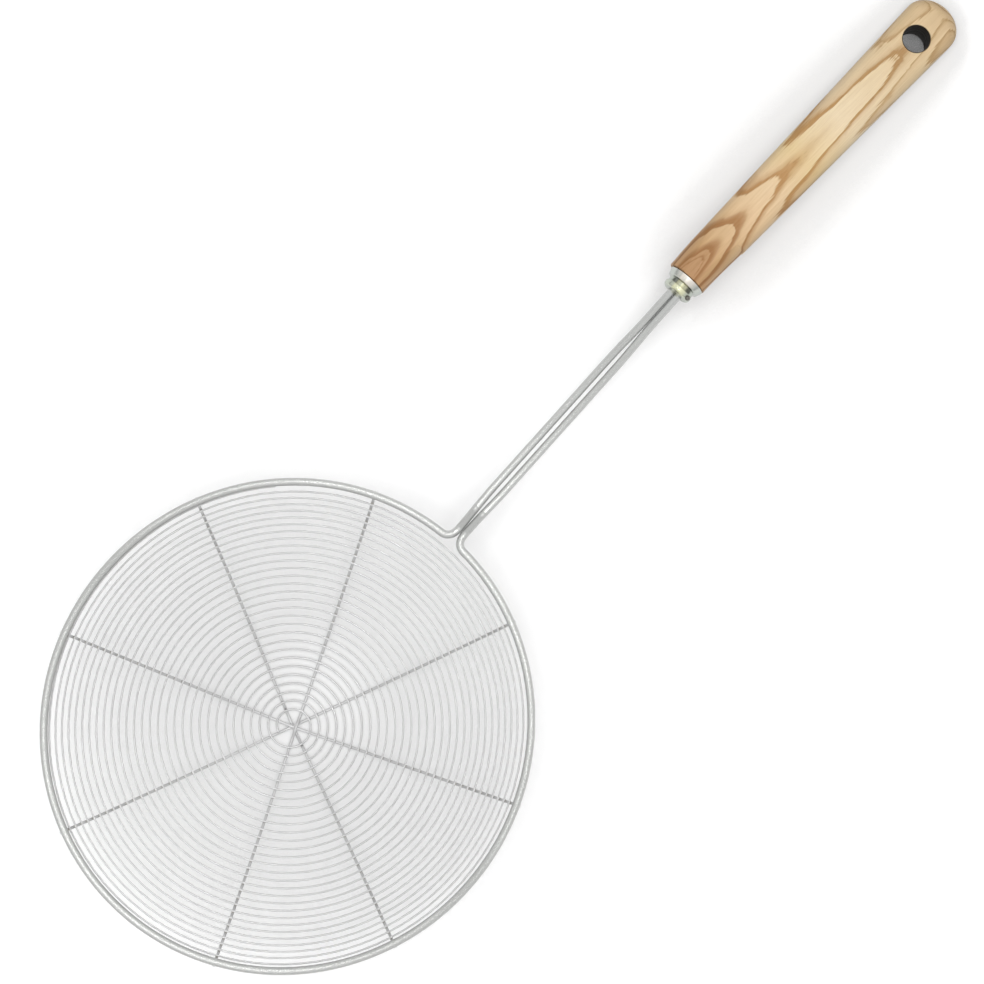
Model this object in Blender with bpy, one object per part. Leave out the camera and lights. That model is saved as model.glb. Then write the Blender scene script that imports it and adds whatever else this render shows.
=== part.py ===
# A spiral-wire skimmer: a shallow strainer bowl of one spiral wire on four crossed spoke wires,
# under the rim of a bent frame wire whose two legs run side by side into a ferrule and a wood
# handle. Metres, +Z up.
#
# Each piece is modelled with the rim's centreline in the plane z = 0, the rim's centre at the
# origin and the handle along +X. The whole then lies down on the bottom of the bowl and the end
# of the handle, as it lies on a table.

import math

import bmesh
import bpy
import numpy as np
from mathutils import Matrix

# Pieces that touch on the real object keep this much clear of each other.
GAP = 0.0003

# Wire diameters.
FRAME_WIRE = 0.0029
SPIRAL_WIRE = 0.0008
SPOKE_WIRE = 0.0011

# The rim, measured to the frame wire's centreline. It is slightly longer along the handle than
# across it: RIM_OVAL is added to the radius one way and taken off the other way.
RIM_RADIUS = 0.08715
RIM_OVAL = 0.00097
RIM_POINTS = 72

# The sphere that the spiral's centreline lies on. It passes through the rim's centreline.
BOWL_RADIUS = 0.106

# The spiral. Its pitch and its start are distances along the bowl's surface.
SPIRAL_PITCH = 0.003238
SPIRAL_START = 0.00525
SPIRAL_START_ANGLE = math.radians(157.5)
SPIRAL_POINTS_PER_TURN = 24

# The spoke wires, set by hand: each has one direction on either side of the middle, and passes
# the middle by its miss, to the left of its first direction. They cross at the bottom, so there
# each one takes its own layer: a layer is one wire and one gap, counted up from the surface that
# the spiral lies on.
SPOKE_DIRECTIONS = ((-23.7, 157.2), (21.4, 204.8), (64.3, 247.7), (109.7, 292.4))
SPOKE_MISSES = (-0.0002, -0.0017, -0.0003, 0.0001)
SPOKE_LAYERS = (-0.5, 1.5, -1.5, 0.5)
SPOKE_STEP = 0.004
SPOKE_TIP = 0.0004
SPOKE_END_BEND = 0.0015
CROSSING_FLAT_UP = 0.0006
CROSSING_FLAT_DOWN = 0.003
CROSSING_RAMP_UP = 0.0044
CROSSING_RAMP_DOWN = 0.0085

# The neck, where the rim's two ends turn outwards, and the crank that lifts the shaft above it.
NECK_BEND = 0.004
NECK_LENGTH = 0.0017
CRANK_RISE = 0.0045
CRANK_ANGLE = math.radians(28)
CRANK_BEND = 0.005

# The shaft, from the neck to the front of the ferrule. Its legs touch at both ends and stand
# LEG_OPENING apart between them.
SHAFT_LENGTH = 0.11705
SHAFT_STEP = 0.008
LEG_OPENING = 0.0011
OPENING_RAMP_NECK = 0.010
OPENING_RAMP_FERRULE = 0.018
TOUCH_BEFORE_FERRULE = 0.029
TANG_LENGTH = 0.044

# The ferrule: a bead, a groove and a band that widens to the wood. The band is a cup at the back.
BEAD_LENGTH = 0.0023
BEAD_RADIUS = 0.0057
BEAD_EDGE = 0.0012
GROOVE_LENGTH = 0.0015
GROOVE_RADIUS = 0.0053
BAND_FLARE = 0.0004
BAND_LENGTH = 0.0024
BAND_FRONT_RADIUS = 0.0064
BAND_BACK_RADIUS = 0.0073
FERRULE_WALL = 0.0008
WIRE_CLEARANCE = 0.0003
TURNED_STEPS = 32

# The pin that locks the ferrule, driven into its bead on the right, PIN_TURN up from the side.
PIN_TURN = math.radians(38)
PIN_DIAMETER = 0.0012
PIN_HEAD_DIAMETER = 0.0019
PIN_HEAD_HEIGHT = 0.0005

# The wood handle. Its centreline starts SIDE_SHIFT beside the shaft's and leans by HANDLE_LEAN.
HANDLE_LENGTH = 0.1385
HANDLE_FRONT_WIDTH = 0.0160
HANDLE_END_WIDTH = 0.0213
HANDLE_END_ROUND = 0.0087
HANDLE_FRONT_THICKNESS = 0.0146
HANDLE_END_THICKNESS = 0.013
HANDLE_EDGE_RADIUS = 0.005
HANDLE_EDGE_SEGMENTS = 5
HANDLE_SIDE_STEPS = 16
HANDLE_END_STEPS = 20
SIDE_SHIFT = 0.0004
HANDLE_LEAN = math.radians(-1.95)

# The wood's front is turned round to meet the ferrule and opens out to the full section over
# TURNED_LENGTH, by TURNED_FLARE.
TURNED_RADIUS = 0.0078
TURNED_LENGTH = 0.020
TURNED_FLARE = 0.0011
FRONT_EDGE = 0.0004

HANGING_HOLE = 0.010
HOLE_TO_END = 0.0169
HOLE_CHAMFER = 0.0005

TOUCHING = (FRAME_WIRE + GAP) / 2
BOWL_CENTRE_Z = math.sqrt(BOWL_RADIUS**2 - RIM_RADIUS**2)
SPOKE_OFFSET = (SPIRAL_WIRE + SPOKE_WIRE) / 2 + GAP
SPOKE_RIM_Z = -((FRAME_WIRE + SPOKE_WIRE) / 2 + GAP)
NECK_RADIUS = RIM_RADIUS + RIM_OVAL
NECK_BEND_Y = TOUCHING + NECK_BEND
NECK_X = math.sqrt((NECK_RADIUS + NECK_BEND) ** 2 - NECK_BEND_Y**2)
FERRULE_X = NECK_X + SHAFT_LENGTH
BORE_RADIUS = TOUCHING + FRAME_WIRE / 2 + WIRE_CLEARANCE
CUP_FRONT = BEAD_LENGTH + GROOVE_LENGTH + BAND_FLARE
FERRULE_LENGTH = CUP_FRONT + BAND_LENGTH
CUP_RADIUS = BAND_FRONT_RADIUS - FERRULE_WALL


def clear_scene():
    for existing in list(bpy.data.objects):
        bpy.data.objects.remove(existing)


def smoothstep(value, start, end):
    share = min(max((value - start) / (end - start), 0.0), 1.0)
    return share * share * (3 - 2 * share)


def finish(name, colour, roughness, metallic):
    material = bpy.data.materials.new(name)
    material.use_nodes = True
    shader = material.node_tree.nodes["Principled BSDF"]
    shader.inputs["Base Color"].default_value = (*colour, 1.0)
    shader.inputs["Roughness"].default_value = roughness
    shader.inputs["Metallic"].default_value = metallic
    material.diffuse_color = (*colour, 1.0)
    return material


def steel(name):
    return finish(name + "_steel", (0.62, 0.63, 0.61), 0.22, 1.0)


def link(name, data, material, parent):
    data.materials.append(material)
    piece = bpy.data.objects.new(name, data)
    bpy.context.scene.collection.objects.link(piece)
    piece.parent = parent
    return piece


def wire(name, points, diameter, bevel_resolution, parent):
    curve = bpy.data.curves.new(name, "CURVE")
    curve.dimensions = "3D"
    curve.bevel_depth = diameter / 2
    curve.bevel_resolution = bevel_resolution
    curve.use_fill_caps = True
    spline = curve.splines.new("POLY")
    spline.points.add(len(points) - 1)
    for point, place in zip(spline.points, points):
        point.co = (*place, 1.0)
    spline.use_smooth = True
    return link(name, curve, steel(name), parent)


def mesh_piece(name, bm, material, parent, sharp_angle):
    mesh = bpy.data.meshes.new(name)
    bm.to_mesh(mesh)
    bm.free()
    mesh.shade_smooth()
    mesh.set_sharp_from_angle(angle=math.radians(sharp_angle))
    return link(name, mesh, material, parent)


def turned(profile, axis, steps=TURNED_STEPS):
    # A closed profile of (along the axis, away from it) points, spun once around X, Y or Z.
    bm = bmesh.new()
    places = {
        "X": lambda along, away: (along, away, 0.0),
        "Y": lambda along, away: (0.0, along, away),
        "Z": lambda along, away: (away, 0.0, along),
    }
    verts = [bm.verts.new(places[axis](along, away)) for along, away in profile]
    edges = [bm.edges.new((verts[i - 1], verts[i])) for i in range(len(verts))]
    turn_axis = {"X": (1, 0, 0), "Y": (0, 1, 0), "Z": (0, 0, 1)}[axis]
    bmesh.ops.spin(
        bm,
        geom=verts + edges,
        cent=(0, 0, 0),
        axis=turn_axis,
        angle=2 * math.pi,
        steps=steps,
        use_merge=True,
    )
    bmesh.ops.remove_doubles(bm, verts=bm.verts, dist=1e-6)
    bmesh.ops.recalc_face_normals(bm, faces=bm.faces)
    return bm


def fillet(before, corner, after, radius, segments):
    # The points of an arc that rounds a corner between two straight runs in a plane.
    back = np.subtract(before, corner) / np.linalg.norm(np.subtract(before, corner))
    ahead = np.subtract(after, corner) / np.linalg.norm(np.subtract(after, corner))
    half_turn = (math.pi - math.acos(float(np.dot(back, ahead)))) / 2
    reach = radius * math.tan(half_turn)
    bisector = (back + ahead) / np.linalg.norm(back + ahead)
    centre = corner + bisector * radius / math.cos(half_turn)
    first = corner + back * reach - centre
    side = ahead - back * float(np.dot(ahead, back))
    side /= np.linalg.norm(side)
    along = -back
    points = []
    for step in range(segments + 1):
        angle = 2 * half_turn * step / segments
        points.append(centre + first * math.cos(angle) + along * radius * math.sin(angle))
    return [tuple(point) for point in points]


def oval(radius, angle):
    # The plan place of a bowl radius: the bowl is round at the bottom and oval at the rim.
    stretched = radius + RIM_OVAL * (radius / RIM_RADIUS) ** 3 * math.cos(2 * angle)
    return stretched * math.cos(angle), stretched * math.sin(angle)


def spiral_points():
    to_rim = (FRAME_WIRE + SPIRAL_WIRE) / 2 + GAP
    last = BOWL_RADIUS * math.asin(RIM_RADIUS / BOWL_RADIUS) - to_rim
    turns = (last - SPIRAL_START) / SPIRAL_PITCH
    steps = int(turns * SPIRAL_POINTS_PER_TURN)
    shares = [step / SPIRAL_POINTS_PER_TURN for step in range(steps + 1)] + [turns]
    points = []
    for share in shares:
        around = SPIRAL_START_ANGLE - 2 * math.pi * share
        slope = (SPIRAL_START + SPIRAL_PITCH * share) / BOWL_RADIUS
        x, y = oval(BOWL_RADIUS * math.sin(slope), around)
        points.append((x, y, BOWL_CENTRE_Z - BOWL_RADIUS * math.cos(slope)))
    return points


def least_gap_to_itself(points, diameter, points_per_turn):
    # Each point against every stretch of the wire that is at least half a turn away from it.
    places = np.array(points)
    starts = places[:-1]
    runs = places[1:] - starts
    least = math.inf
    for index, place in enumerate(places):
        far = np.abs(np.arange(len(starts)) - index) > points_per_turn // 2
        share = ((place - starts[far]) * runs[far]).sum(axis=1) / (runs[far] ** 2).sum(axis=1)
        nearest = starts[far] + runs[far] * np.clip(share, 0, 1)[:, None]
        least = min(least, float(np.linalg.norm(nearest - place, axis=1).min()))
    return least - diameter


def spoke_half(layer):
    # One half of a spoke wire as (distance from the middle, height): level at the crossing, where
    # the two lower wires are the foot that the bowl stands on, then along the underside of the
    # spiral, then level under the rim.
    shell = BOWL_RADIUS + SPOKE_OFFSET
    rim_slope = math.acos((BOWL_CENTRE_Z - SPOKE_RIM_Z) / shell)
    corner = (shell * math.sin(rim_slope), SPOKE_RIM_Z)
    flat = CROSSING_FLAT_UP if layer > 0 else CROSSING_FLAT_DOWN
    ramp = CROSSING_RAMP_UP if layer > 0 else CROSSING_RAMP_DOWN
    steps = round(rim_slope * shell / SPOKE_STEP)
    inner_steps = [flat * share for share in (0.5, 1.0)]
    inner_steps += [flat + ramp * share for share in (0.2, 0.4, 0.6, 0.8, 1.0)]
    lengths = inner_steps + [
        rim_slope * shell * step / steps
        for step in range(1, steps)
        if rim_slope * shell * step / steps > inner_steps[-1] + SPOKE_STEP / 2
    ]
    half = []
    for length in lengths:
        lift = layer * (SPOKE_WIRE + GAP) * (1 - smoothstep(length, flat, flat + ramp))
        if length <= flat:
            half.append((length, BOWL_CENTRE_Z - shell + lift))
            continue
        slope = length / shell
        half.append(((shell - lift) * math.sin(slope), BOWL_CENTRE_Z - (shell - lift) * math.cos(slope)))
    tip = (RIM_RADIUS + FRAME_WIRE / 2 + SPOKE_TIP, SPOKE_RIM_Z)
    return half + fillet(half[-1], corner, tip, SPOKE_END_BEND, 3) + [tip]


def spoke_arm(direction, miss, layer):
    # From the middle outwards. The miss fades to nothing at the tip.
    half = spoke_half(layer)
    arm = []
    for radius, height in half:
        x, y = oval(radius, direction)
        beside = miss * (1 - radius / half[-1][0])
        arm.append((x - beside * math.sin(direction), y + beside * math.cos(direction), height))
    return arm


def spoke_points(directions, miss, layer):
    first, second = [math.radians(degrees) for degrees in directions]
    bottom = BOWL_CENTRE_Z - BOWL_RADIUS - SPOKE_OFFSET + layer * (SPOKE_WIRE + GAP)
    middle = (-miss * math.sin(first), miss * math.cos(first), bottom)
    return spoke_arm(second, -miss, layer)[::-1] + [middle] + spoke_arm(first, miss, layer)


def leg_offset(x):
    opening = (LEG_OPENING - GAP) / 2
    close_end = FERRULE_X - TOUCH_BEFORE_FERRULE
    opened = smoothstep(x, NECK_X + NECK_LENGTH, NECK_X + NECK_LENGTH + OPENING_RAMP_NECK)
    closed = smoothstep(x, close_end - OPENING_RAMP_FERRULE, close_end)
    return TOUCHING + opening * (opened - closed)


def shaft_profile():
    # One leg from the neck bend to the end of its tang, as (x, z).
    start = (NECK_X, 0.0)
    low = (NECK_X + NECK_LENGTH, 0.0)
    high = (low[0] + CRANK_RISE / math.tan(CRANK_ANGLE), CRANK_RISE)
    end = (FERRULE_X + TANG_LENGTH, CRANK_RISE)
    profile = fillet(start, low, high, CRANK_BEND, 4) + fillet(low, high, end, CRANK_BEND, 4)
    run = end[0] - profile[-1][0]
    steps = round(run / SHAFT_STEP)
    profile += [(profile[-1][0] + run * step / steps, CRANK_RISE) for step in range(1, steps + 1)]
    return profile


def frame_points():
    # Half of the wire, from the back of the rim round to the neck and out along one leg. The
    # other half is its mirror image.
    neck_angle = math.asin(NECK_BEND_Y / (NECK_RADIUS + NECK_BEND))
    half = []
    for step in range(RIM_POINTS // 2 + 1):
        angle = math.pi + (neck_angle - math.pi) * step * 2 / RIM_POINTS
        half.append((*oval(RIM_RADIUS, angle), 0.0))
    bend_start = math.pi + neck_angle
    bend_steps = 8
    for step in range(1, bend_steps + 1):
        angle = bend_start + (1.5 * math.pi - bend_start) * step / bend_steps
        x = NECK_X + NECK_BEND * math.cos(angle)
        half.append((x, NECK_BEND_Y + NECK_BEND * math.sin(angle), 0.0))
    half += [(x, leg_offset(x), z) for x, z in shaft_profile()]
    mirrored = [(x, -y, z) for x, y, z in reversed(half[1:])]
    return mirrored + half


def ferrule_profile():
    # Outside from the front to the back, then inside from the back to the front.
    groove_back = BEAD_LENGTH + GROOVE_LENGTH
    outside = []
    for step in range(6):
        angle = math.pi * step / 5
        share = (1 - math.cos(angle)) / 2
        away = BEAD_RADIUS - BEAD_EDGE * (1 - math.sin(angle))
        if angle > math.pi / 2:
            away = max(away, GROOVE_RADIUS)
        outside.append((BEAD_LENGTH * share, away))
    outside += [
        (BEAD_LENGTH + GROOVE_LENGTH * 0.15, GROOVE_RADIUS),
        (groove_back, GROOVE_RADIUS),
        (groove_back + BAND_FLARE * 0.4, GROOVE_RADIUS + (BAND_FRONT_RADIUS - GROOVE_RADIUS) * 0.75),
        (CUP_FRONT, BAND_FRONT_RADIUS),
        (FERRULE_LENGTH, BAND_BACK_RADIUS),
    ]
    inside = [
        (FERRULE_LENGTH, CUP_RADIUS),
        (CUP_FRONT, CUP_RADIUS),
        (CUP_FRONT, BORE_RADIUS),
        (0.0, BORE_RADIUS),
    ]
    return outside + inside


def turned_up(bm):
    # From the ferrule's right-hand side round the shaft to where the pin is.
    bmesh.ops.rotate(bm, verts=bm.verts, cent=(0, 0, 0), matrix=Matrix.Rotation(-PIN_TURN, 3, "X"))
    return bm


def ferrule(parent):
    piece = mesh_piece("ferrule", turned(ferrule_profile(), "X"), steel("ferrule"), parent, 35)
    piece.location = (FERRULE_X, 0.0, CRANK_RISE)
    reach = BEAD_RADIUS * 2
    hole = PIN_DIAMETER / 2 + GAP
    drill = turned([(-reach, 0.0), (-reach, hole), (0.0, hole), (0.0, 0.0)], "Y")
    cut(piece, turned_up(drill), "ferrule_pin_drill", (BEAD_LENGTH / 2, 0.0, 0.0))
    return piece


def cut(piece, bm, name, place, operation="DIFFERENCE"):
    mesh = bpy.data.meshes.new(name)
    bm.to_mesh(mesh)
    bm.free()
    cutter = bpy.data.objects.new(name, mesh)
    bpy.context.scene.collection.objects.link(cutter)
    cutter.parent = piece
    cutter.location = place
    cutter.hide_render = True
    cutter.display_type = "WIRE"
    boolean = piece.modifiers.new(name, "BOOLEAN")
    boolean.object = cutter
    boolean.operation = operation
    boolean.solver = "EXACT"


def ferrule_pin(parent):
    # Its head stands off the bead and its point stops at the bore.
    head_y = -(BEAD_RADIUS + GAP)
    point_y = -BORE_RADIUS
    head = PIN_HEAD_DIAMETER / 2
    top = head_y - PIN_HEAD_HEIGHT
    profile = [
        (point_y, 0.0),
        (point_y, PIN_DIAMETER / 2),
        (head_y, PIN_DIAMETER / 2),
        (head_y, head),
        (head_y - PIN_HEAD_HEIGHT * 0.5, head),
        (head_y - PIN_HEAD_HEIGHT * 0.85, head * 0.7),
        (top, head * 0.3),
        (top, 0.0),
    ]
    bm = turned_up(turned(profile, "Y", 16))
    piece = mesh_piece("ferrule_pin", bm, steel("ferrule_pin"), parent, 35)
    piece.location = (FERRULE_X + BEAD_LENGTH / 2, 0.0, CRANK_RISE)
    return piece


def handle_centre(x):
    return SIDE_SHIFT + math.tan(HANDLE_LEAN) * x


def handle_outline():
    # The wood's plan from the front's right-hand corner, round the end, to the left-hand one.
    straight = HANDLE_LENGTH - HANDLE_END_ROUND
    side = []
    for step in range(HANDLE_SIDE_STEPS + 1):
        share = step / HANDLE_SIDE_STEPS
        width = HANDLE_FRONT_WIDTH + (HANDLE_END_WIDTH - HANDLE_FRONT_WIDTH) * share
        side.append((straight * share, width / 2))
    right = [(x, handle_centre(x) - half) for x, half in side]
    left = [(x, handle_centre(x) + half) for x, half in reversed(side)]
    end = []
    for step in range(1, HANDLE_END_STEPS):
        angle = -math.pi / 2 + math.pi * step / HANDLE_END_STEPS
        y = handle_centre(straight) + HANDLE_END_WIDTH / 2 * math.sin(angle)
        end.append((straight + HANDLE_END_ROUND * math.cos(angle), y))
    return right + end + left


def thickness_at(x):
    share = x / HANDLE_LENGTH
    return HANDLE_FRONT_THICKNESS + (HANDLE_END_THICKNESS - HANDLE_FRONT_THICKNESS) * share


def handle_body():
    bm = bmesh.new()
    base = -HANDLE_FRONT_THICKNESS / 2
    lower = bm.faces.new([bm.verts.new((x, y, base)) for x, y in handle_outline()])
    raised = bmesh.ops.extrude_face_region(bm, geom=[lower])
    for vert in [item for item in raised["geom"] if isinstance(item, bmesh.types.BMVert)]:
        vert.co.z = -base
    bmesh.ops.recalc_face_normals(bm, faces=bm.faces)
    long_edges = []
    for edge in bm.edges:
        first, second = edge.verts
        level = abs(first.co.z - second.co.z) < 1e-6
        if level and max(first.co.x, second.co.x) > 1e-6:
            long_edges.append(edge)
    bmesh.ops.bevel(
        bm,
        geom=long_edges,
        offset=HANDLE_EDGE_RADIUS,
        segments=HANDLE_EDGE_SEGMENTS,
        profile=0.5,
        affect="EDGES",
        clamp_overlap=True,
    )
    for vert in bm.verts:
        vert.co.z *= thickness_at(vert.co.x) / HANDLE_FRONT_THICKNESS
    return bm


def turned_front(overlap):
    # What the front of the wood is cut down to: round, with an eased edge, then opening out.
    radius = TURNED_RADIUS
    outside = [(-overlap, radius - FRONT_EDGE)]
    outside += [(FRONT_EDGE * share**2, radius - FRONT_EDGE * (1 - share)) for share in (0.0, 0.5, 1.0)]
    for step in range(1, 6):
        share = step / 5
        outside.append((FRONT_EDGE + TURNED_LENGTH * share, radius + TURNED_FLARE * share**1.6))
    clear = radius + HANDLE_END_WIDTH
    outside += [(FRONT_EDGE + TURNED_LENGTH * 2, clear), (HANDLE_LENGTH + overlap, clear)]
    return turned([(-overlap, 0.0)] + outside + [(HANDLE_LENGTH + overlap, 0.0)], "X")


def handle(parent):
    wood = finish("handle_wood", (0.72, 0.50, 0.27), 0.45, 0.0)
    piece = mesh_piece("handle", handle_body(), wood, parent, 35)
    front = FERRULE_LENGTH + GAP
    piece.location = (FERRULE_X + front, 0.0, CRANK_RISE)
    tenon_end = CUP_FRONT + GAP - front
    overlap = 0.001
    cut(piece, turned_front(overlap), "handle_front_turning", (0, SIDE_SHIFT, 0), "INTERSECT")
    tenon = [(tenon_end, 0.0), (tenon_end, CUP_RADIUS - GAP), (overlap, CUP_RADIUS - GAP), (overlap, 0.0)]
    cut(piece, turned(tenon, "X"), "handle_tenon", (0, 0, 0), "UNION")
    tang_end = TANG_LENGTH - front + WIRE_CLEARANCE
    before = tenon_end - overlap
    bore = [(before, 0.0), (before, BORE_RADIUS), (tang_end, BORE_RADIUS), (tang_end, 0.0)]
    cut(piece, turned(bore, "X"), "handle_bore", (0, 0, 0))
    hole_x = HANDLE_LENGTH - HOLE_TO_END
    surface = thickness_at(hole_x) / 2
    radius = HANGING_HOLE / 2
    beyond = HOLE_CHAMFER + overlap
    drill = [
        (-surface - overlap, 0.0),
        (-surface - overlap, radius + beyond),
        (-surface + HOLE_CHAMFER, radius),
        (surface - HOLE_CHAMFER, radius),
        (surface + overlap, radius + beyond),
        (surface + overlap, 0.0),
    ]
    cut(piece, turned(drill, "Z"), "hanging_hole_drill", (hole_x, handle_centre(hole_x), 0))
    return piece


def corners(piece, graph):
    evaluated = piece.evaluated_get(graph)
    mesh = evaluated.to_mesh()
    flat = np.empty(len(mesh.vertices) * 3, np.float32)
    mesh.vertices.foreach_get("co", flat)
    evaluated.to_mesh_clear()
    local = flat.reshape(-1, 3).astype(float)
    matrix = np.array(piece.matrix_world)
    return local @ matrix[:3, :3].T + matrix[:3, 3]


def laid(points, angle):
    cosine = math.cos(angle)
    sine = math.sin(angle)
    return points @ np.array([[cosine, 0, -sine], [0, 1, 0], [sine, 0, cosine]])


def lay_down(assembly, bowl_pieces, handle_piece, other_pieces):
    # Turned about Y until the bowl and the handle reach equally low, then raised onto z = 0 with
    # the box's middle over the origin.
    bpy.context.view_layer.update()
    graph = bpy.context.evaluated_depsgraph_get()
    bowl = np.concatenate([corners(piece, graph) for piece in bowl_pieces])
    wood = corners(handle_piece, graph)
    others = np.concatenate([corners(piece, graph) for piece in other_pieces])
    low, high = 0.0, math.radians(30)
    for _ in range(40):
        angle = (low + high) / 2
        if laid(wood, angle)[:, 2].min() > laid(bowl, angle)[:, 2].min():
            low = angle
        else:
            high = angle
    every = laid(np.concatenate([bowl, wood, others]), angle)
    middle = (every.min(axis=0) + every.max(axis=0)) / 2
    assembly.rotation_euler = (0.0, angle, 0.0)
    assembly.location = (-middle[0], -middle[1], -every[:, 2].min())
    place = [round(value, 6) for value in assembly.location]
    print(f"laid down by {math.degrees(angle):.3f} degrees, at {place}")


def main():
    clear_scene()
    assembly = bpy.data.objects.new("skimmer_frame", None)
    bpy.context.scene.collection.objects.link(assembly)

    frame = wire("frame_wire", frame_points(), FRAME_WIRE, 2, assembly)

    spiral_path = spiral_points()
    spiral = wire("spiral_wire", spiral_path, SPIRAL_WIRE, 1, assembly)
    least = least_gap_to_itself(spiral_path, SPIRAL_WIRE, SPIRAL_POINTS_PER_TURN)
    print(f"spiral wire: {len(spiral_path)} points, least gap to itself {least * 1000:.2f} mm")

    spokes = []
    settings = zip(SPOKE_DIRECTIONS, SPOKE_MISSES, SPOKE_LAYERS)
    for number, (directions, miss, layer) in enumerate(settings, 1):
        points = spoke_points(directions, miss, layer)
        spokes.append(wire(f"spoke_wire_{number}", points, SPOKE_WIRE, 1, assembly))

    collar = ferrule(assembly)
    pin = ferrule_pin(assembly)
    wood = handle(assembly)
    lay_down(assembly, [spiral, *spokes], wood, [frame, collar, pin])


main()
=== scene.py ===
import math

import bmesh
import bpy
from mathutils import Matrix, Vector


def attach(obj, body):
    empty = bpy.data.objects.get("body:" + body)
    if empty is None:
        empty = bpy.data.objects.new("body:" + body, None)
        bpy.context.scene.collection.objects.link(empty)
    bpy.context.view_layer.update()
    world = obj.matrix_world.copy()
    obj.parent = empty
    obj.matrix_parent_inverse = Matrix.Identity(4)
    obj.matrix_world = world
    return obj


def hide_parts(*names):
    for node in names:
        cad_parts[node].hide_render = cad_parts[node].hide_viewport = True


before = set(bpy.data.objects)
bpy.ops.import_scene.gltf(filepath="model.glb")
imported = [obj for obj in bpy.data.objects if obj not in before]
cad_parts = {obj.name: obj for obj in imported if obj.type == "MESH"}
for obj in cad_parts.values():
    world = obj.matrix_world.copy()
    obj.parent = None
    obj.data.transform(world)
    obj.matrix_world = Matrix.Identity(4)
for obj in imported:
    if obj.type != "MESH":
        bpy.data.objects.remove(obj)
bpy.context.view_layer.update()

# A spiral-wire skimmer seen from above. In its own frame the rim's centreline is in the plane z = 0, with
# the rim's centre at the origin and the handle along +X. Then it lies down on its bowl and its handle's end.
layDown = {"angle": 7.775, "x": -0.131641, "z": 0.049277}
toTable = Matrix.Translation((layDown["x"], 0.0, layDown["z"])) @ Matrix.Rotation(
    math.radians(layDown["angle"]), 4, "Y"
)
mm = 0.001


def linearColour(code):
    channels = [int(code[start:start + 2], 16) / 255 for start in (1, 3, 5)]
    return [c / 12.92 if c <= 0.04045 else ((c + 0.055) / 1.055) ** 2.4 for c in channels] + [1.0]


def setInputs(tree, node, inputs):
    # A value that is a node stands for that node's first output, and a code for its colour.
    for name, value in inputs.items():
        if isinstance(value, str):
            value = linearColour(value)
        if isinstance(value, bpy.types.Node):
            value = value.outputs[0]
        if isinstance(value, bpy.types.NodeSocket):
            tree.links.new(value, node.inputs[name])
        else:
            node.inputs[name].default_value = value


def addNode(tree, kind, inputs=None, stops=None, **settings):
    node = tree.nodes.new("ShaderNode" + kind)
    for name, value in settings.items():
        setattr(node, name, value)
    setInputs(tree, node, inputs or {})
    if stops:
        ramp = node.color_ramp
        while len(ramp.elements) < len(stops):
            ramp.elements.new(0.5)
        for element, (place, colour) in zip(ramp.elements, stops):
            element.position = place
            element.color = colour if len(colour) == 4 else (*colour * 3, 1.0)
    return node


def newMaterial(name):
    material = bpy.data.materials.new(name)
    material.use_nodes = True
    tree = material.node_tree
    return material, tree, tree.nodes["Principled BSDF"]


def ownPlace(tree, origin, lean=0.0):
    # Places in millimetres of a piece's own frame. Its origin and its lean are given in the skimmer's frame.
    turn = toTable.to_3x3() @ Matrix.Rotation(math.radians(lean), 3, "Z")
    inputs = {
        "Vector": addNode(tree, "TexCoord").outputs["Object"],
        "Location": toTable @ origin,
        "Rotation": turn.to_euler(),
        "Scale": (mm, mm, mm),
    }
    return addNode(tree, "Mapping", inputs, vector_type="TEXTURE")


def setWornMetal(tree, shader, tint, wear, height, values):
    # Metal whose roughness follows its wear, with a fine relief.
    spread = {
        "Value": wear,
        "To Min": values["roughness"] - values["smoother"],
        "To Max": values["roughness"] + values["rougher"],
    }
    relief = {"Height": height, "Strength": values["bump"], "Distance": values["bumpHeight"]}
    finish = {
        "Base Color": tint,
        "Metallic": 1.0,
        "Roughness": addNode(tree, "MapRange", spread),
        "Normal": addNode(tree, "Bump", relief),
    }
    setInputs(tree, shader, finish)


def flatLength(tree, across, up):
    # How far a place is from the origin of a plane.
    place = addNode(tree, "CombineXYZ", {"X": across, "Y": up})
    return addNode(tree, "VectorMath", {0: place}, operation="LENGTH").outputs["Value"]


def byLength(tree, along, stops, whole, scale=1.0):
    # A colour ramp over a length: numbers give greys, codes give colours.
    share = addNode(tree, "Math", {0: along, 1: 1 / whole}, operation="MULTIPLY")
    made = [
        (place / whole, linearColour(value) if isinstance(value, str) else (value / scale,))
        for place, value in stops
    ]
    return addNode(tree, "ValToRGB", {"Fac": share}, stops=made)


def smoothStep(value, start, end):
    share = min(max((value - start) / (end - start), 0.0), 1.0)
    return share * share * (3 - 2 * share)


def newObject(name, bm):
    mesh = bpy.data.meshes.new(name)
    bm.to_mesh(mesh)
    bm.free()
    piece = bpy.data.objects.new(name, mesh)
    bpy.context.scene.collection.objects.link(piece)
    return piece


def dress(piece, material, node=None, sharpAngle=40):
    # The last step of each piece: onto the table, then its finish, its body and the node it stands for.
    piece.data.transform(toTable)
    piece.data.materials.clear()
    piece.data.materials.append(material)
    piece.data.shade_smooth()
    piece.data.set_sharp_from_angle(angle=math.radians(sharpAngle))
    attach(piece, "root")
    if node:
        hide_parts(node)
    return piece


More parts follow.
